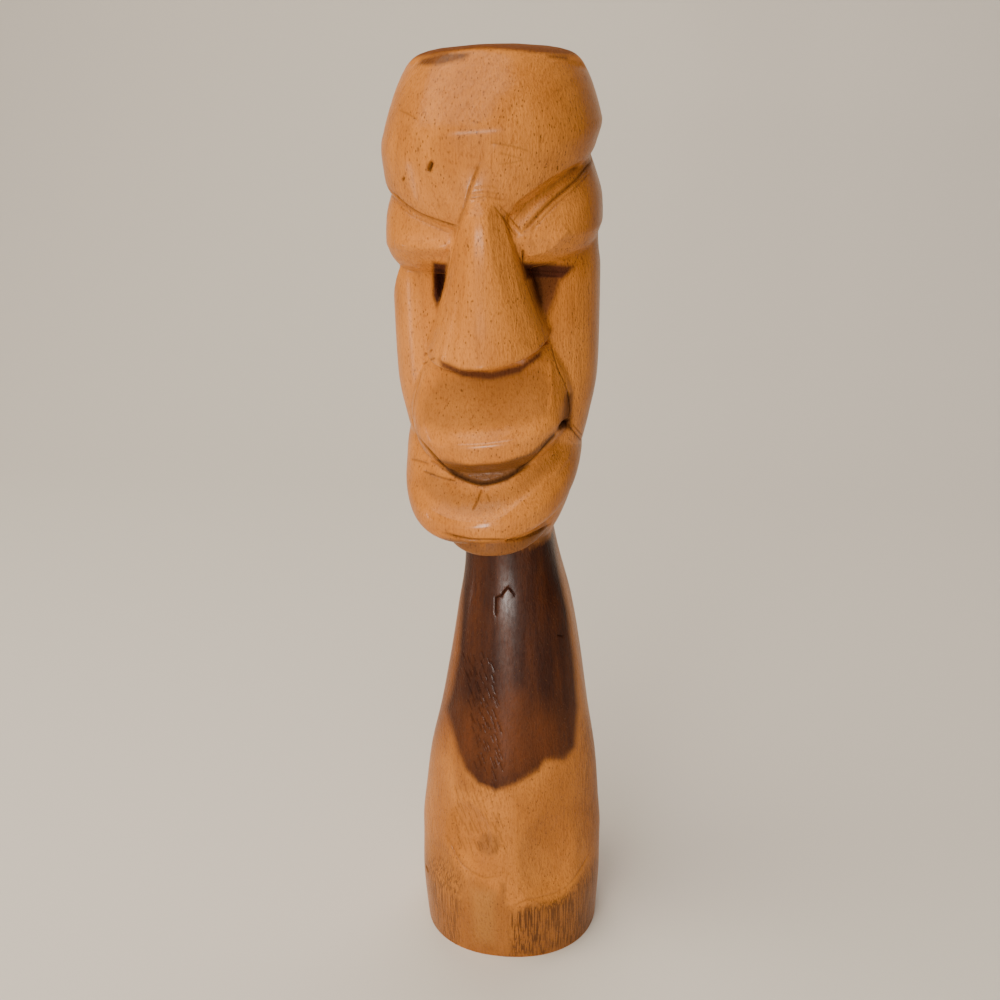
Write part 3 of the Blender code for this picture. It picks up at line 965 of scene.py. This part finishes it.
# %% Sapwood: honey, with wide soft patches, growth rings and fine upright streaks
finish = bpy.data.materials.new("varnished_wood")
finish.use_nodes = True
tree = finish.node_tree
shader = tree.nodes["Principled BSDF"]
where = put(tree, 'ShaderNodeTexCoord').outputs["Object"]
place = put(tree, 'ShaderNodeVectorMath', {0: where, 1: (1 / MM,) * 3},
            operation='MULTIPLY').outputs[0]  # in millimetres
grown = put(tree, 'ShaderNodeGroup', {}, node_tree=figure)
tree.links.new(place, grown.inputs[0])
marked = {name: put(tree, 'ShaderNodeAttribute', attribute_name=name).outputs["Fac"]
          for name in marks}

patches = noise(tree, place, 0.045, 3.0, (1, 1, 0.5))
fine = noise(tree, place, 1.1, 3.0, (1, 1, 0.045))
RING_WIDTH = 2.6
ring_phase = reckon(tree, 'MULTIPLY', grown.outputs[0], math.tau / RING_WIDTH)
rings = reckon(tree, 'MULTIPLY_ADD', reckon(tree, 'SINE', ring_phase), 0.5, 0.5)
sap = blend(tree, ramp_between(tree, patches, 0.35, 0.65),
            (0.46, 0.155, 0.025, 1), (0.58, 0.208, 0.037, 1))
sap = blend(tree, reckon(tree, 'MULTIPLY', rings, 0.16), sap, (0.30, 0.100, 0.020, 1))
sap = blend(tree, reckon(tree, 'MULTIPLY', ramp_between(tree, fine, 0.50, 0.72), 0.30), sap,
            (0.25, 0.078, 0.015, 1))

# %% The sapwood where it is marked: fringe of the heart, rubbed bare, browned or in painted shade, streaked
sap = blend(tree, reckon(tree, 'MULTIPLY', marked["red"], 0.8), sap, (0.14, 0.036, 0.008, 1))
sap = blend(tree, marked["pale"], sap, (0.60, 0.26, 0.060, 1))
# browned varnish at the foot, and painted shade on and under the lips, in a cleft and over the
# lower neck and foot
sap = blend(tree, marked["brown_and_shade"], sap, (0.19, 0.070, 0.018, 1))
thin = noise(tree, place, 1.9, 2.0, (1, 1, 0.03))
streaked = reckon(tree, 'MULTIPLY', ramp_between(tree, thin, 0.46, 0.58), marked["streaks"])
sap = blend(tree, reckon(tree, 'MULTIPLY', streaked, 0.85), sap, (0.095, 0.033, 0.008, 1))

# %% Heartwood: dark brown with redder streaks
broad = noise(tree, place, 0.16, 2.0, (1, 1, 0.05))
core = blend(tree, ramp_between(tree, broad, 0.30, 0.78),
             (0.032, 0.008, 0.003, 1), (0.072, 0.019, 0.005, 1))
core = blend(tree, reckon(tree, 'MULTIPLY', ramp_between(tree, fine, 0.45, 0.75), 0.5), core,
             (0.022, 0.007, 0.005, 1))
core = blend(tree, reckon(tree, 'MULTIPLY', marked["warm"], 0.8), core, (0.17, 0.046, 0.009, 1))

# %% Both woods, mottled, with the painted shade and the sawn ends
colour = blend(tree, marked["heart"], sap, core)
# painted shade in the sockets, the corner of the mouth and under the nose
colour = blend(tree, marked["painted_shade"], colour, (0.075, 0.022, 0.010, 1))
mottle = noise(tree, place, 1.5, 4.0, (1, 1, 0.45))
colour = blend(tree, reckon(tree, 'MULTIPLY', ramp_between(tree, mottle, 0.48, 0.72), 0.45),
               colour, (0.50, 0.40, 0.36, 1), 'MULTIPLY')
colour = blend(tree, marked["end_grain"], colour, (0.30, 0.25, 0.22, 1), 'MULTIPLY')

# %% Pores: short dark dashes along the grain
cells = put(tree, 'ShaderNodeVectorMath', {0: place, 1: (0.8, 0.8, 0.34)},
            operation='MULTIPLY').outputs[0]
dots = put(tree, 'ShaderNodeTexVoronoi', {"Vector": cells, "Scale": 1.0}).outputs["Distance"]
crowd = ramp_between(tree, noise(tree, place, 0.06, 2.0), 0.30, 0.58)
pores = reckon(tree, 'MULTIPLY', ramp_between(tree, dots, 0.20, 0.10), crowd)
colour = blend(tree, reckon(tree, 'MULTIPLY', pores, 0.65), colour, (0.13, 0.045, 0.015, 1))

# %% Dirt and painted shade in the cuts, painted shade in the hollows
dirt_and_shade = put(tree, 'ShaderNodeAttribute', attribute_name="dirt_and_shade").outputs["Fac"]
hollows = put(tree, 'ShaderNodeAttribute', attribute_name="hollow").outputs["Fac"]
# painted shade in the hollows, darker the deeper they are
shaded = reckon(tree, 'MULTIPLY', ramp_between(tree, hollows, 0.08, 1.1), 0.75)
painted_shade_and_dirt = reckon(tree, 'MAXIMUM', reckon(tree, 'MULTIPLY', dirt_and_shade, 0.9), shaded)
# the dirt and the painted shade darken the colour
colour = blend(tree, painted_shade_and_dirt, colour, (0.15, 0.15, 0.24, 1), 'MULTIPLY')
tree.links.new(colour, shader.inputs["Base Color"])

# %% [markdown]
# The varnish is a thin clear coat over the wood. Brushed on by hand it is thicker in some places
# than in others, and it has sunk in where the wood is dirty or cut across the grain; it is duller
# where the painted shade lies too. So the coat's weight and the wood's own roughness vary, and the
# pores and the mottle dent the surface a little.

# %% Varnish: satin, broken up by the grain, dull where dirt or painted shade lies
gloss = noise(tree, place, 0.9, 4.0, (1, 1, 0.4))
dull = painted_shade_and_dirt
for name in ("painted_shade", "end_grain", "dull"):
    dull = reckon(tree, 'MAXIMUM', dull, marked[name])
rough = reckon(tree, 'MULTIPLY_ADD', gloss, 0.20, 0.26)
rough = reckon(tree, 'MULTIPLY_ADD', dull, 0.35, rough)
coat = reckon(tree, 'MULTIPLY_ADD', gloss, 0.45, 0.02)
coat = reckon(tree, 'MULTIPLY_ADD', dull, -0.40, coat, clamp=True)
tree.links.new(rough, shader.inputs["Roughness"])
tree.links.new(coat, shader.inputs["Coat Weight"])
shader.inputs["Specular IOR Level"].default_value = 0.04
shader.inputs["Coat Roughness"].default_value = 0.21

# %% The fine relief of pores and grain
relief = reckon(tree, 'MULTIPLY_ADD', pores, -0.7, reckon(tree, 'MULTIPLY', fine, 0.6))
relief = reckon(tree, 'MULTIPLY_ADD', mottle, 0.8, relief)
relief = reckon(tree, 'MULTIPLY_ADD', gloss, 0.6, relief)
bump = put(tree, 'ShaderNodeBump', {"Height": relief, "Distance": 0.40 * MM, "Strength": 1.0})
tree.links.new(bump.outputs[0], shader.inputs["Normal"])
wood.data.materials.clear()
wood.data.materials.append(finish)
print("finish:", finish.name, "with", len(tree.nodes), "nodes")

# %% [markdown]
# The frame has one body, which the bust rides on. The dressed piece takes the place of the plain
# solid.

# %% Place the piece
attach(wood, "root")
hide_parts("carved_bust")
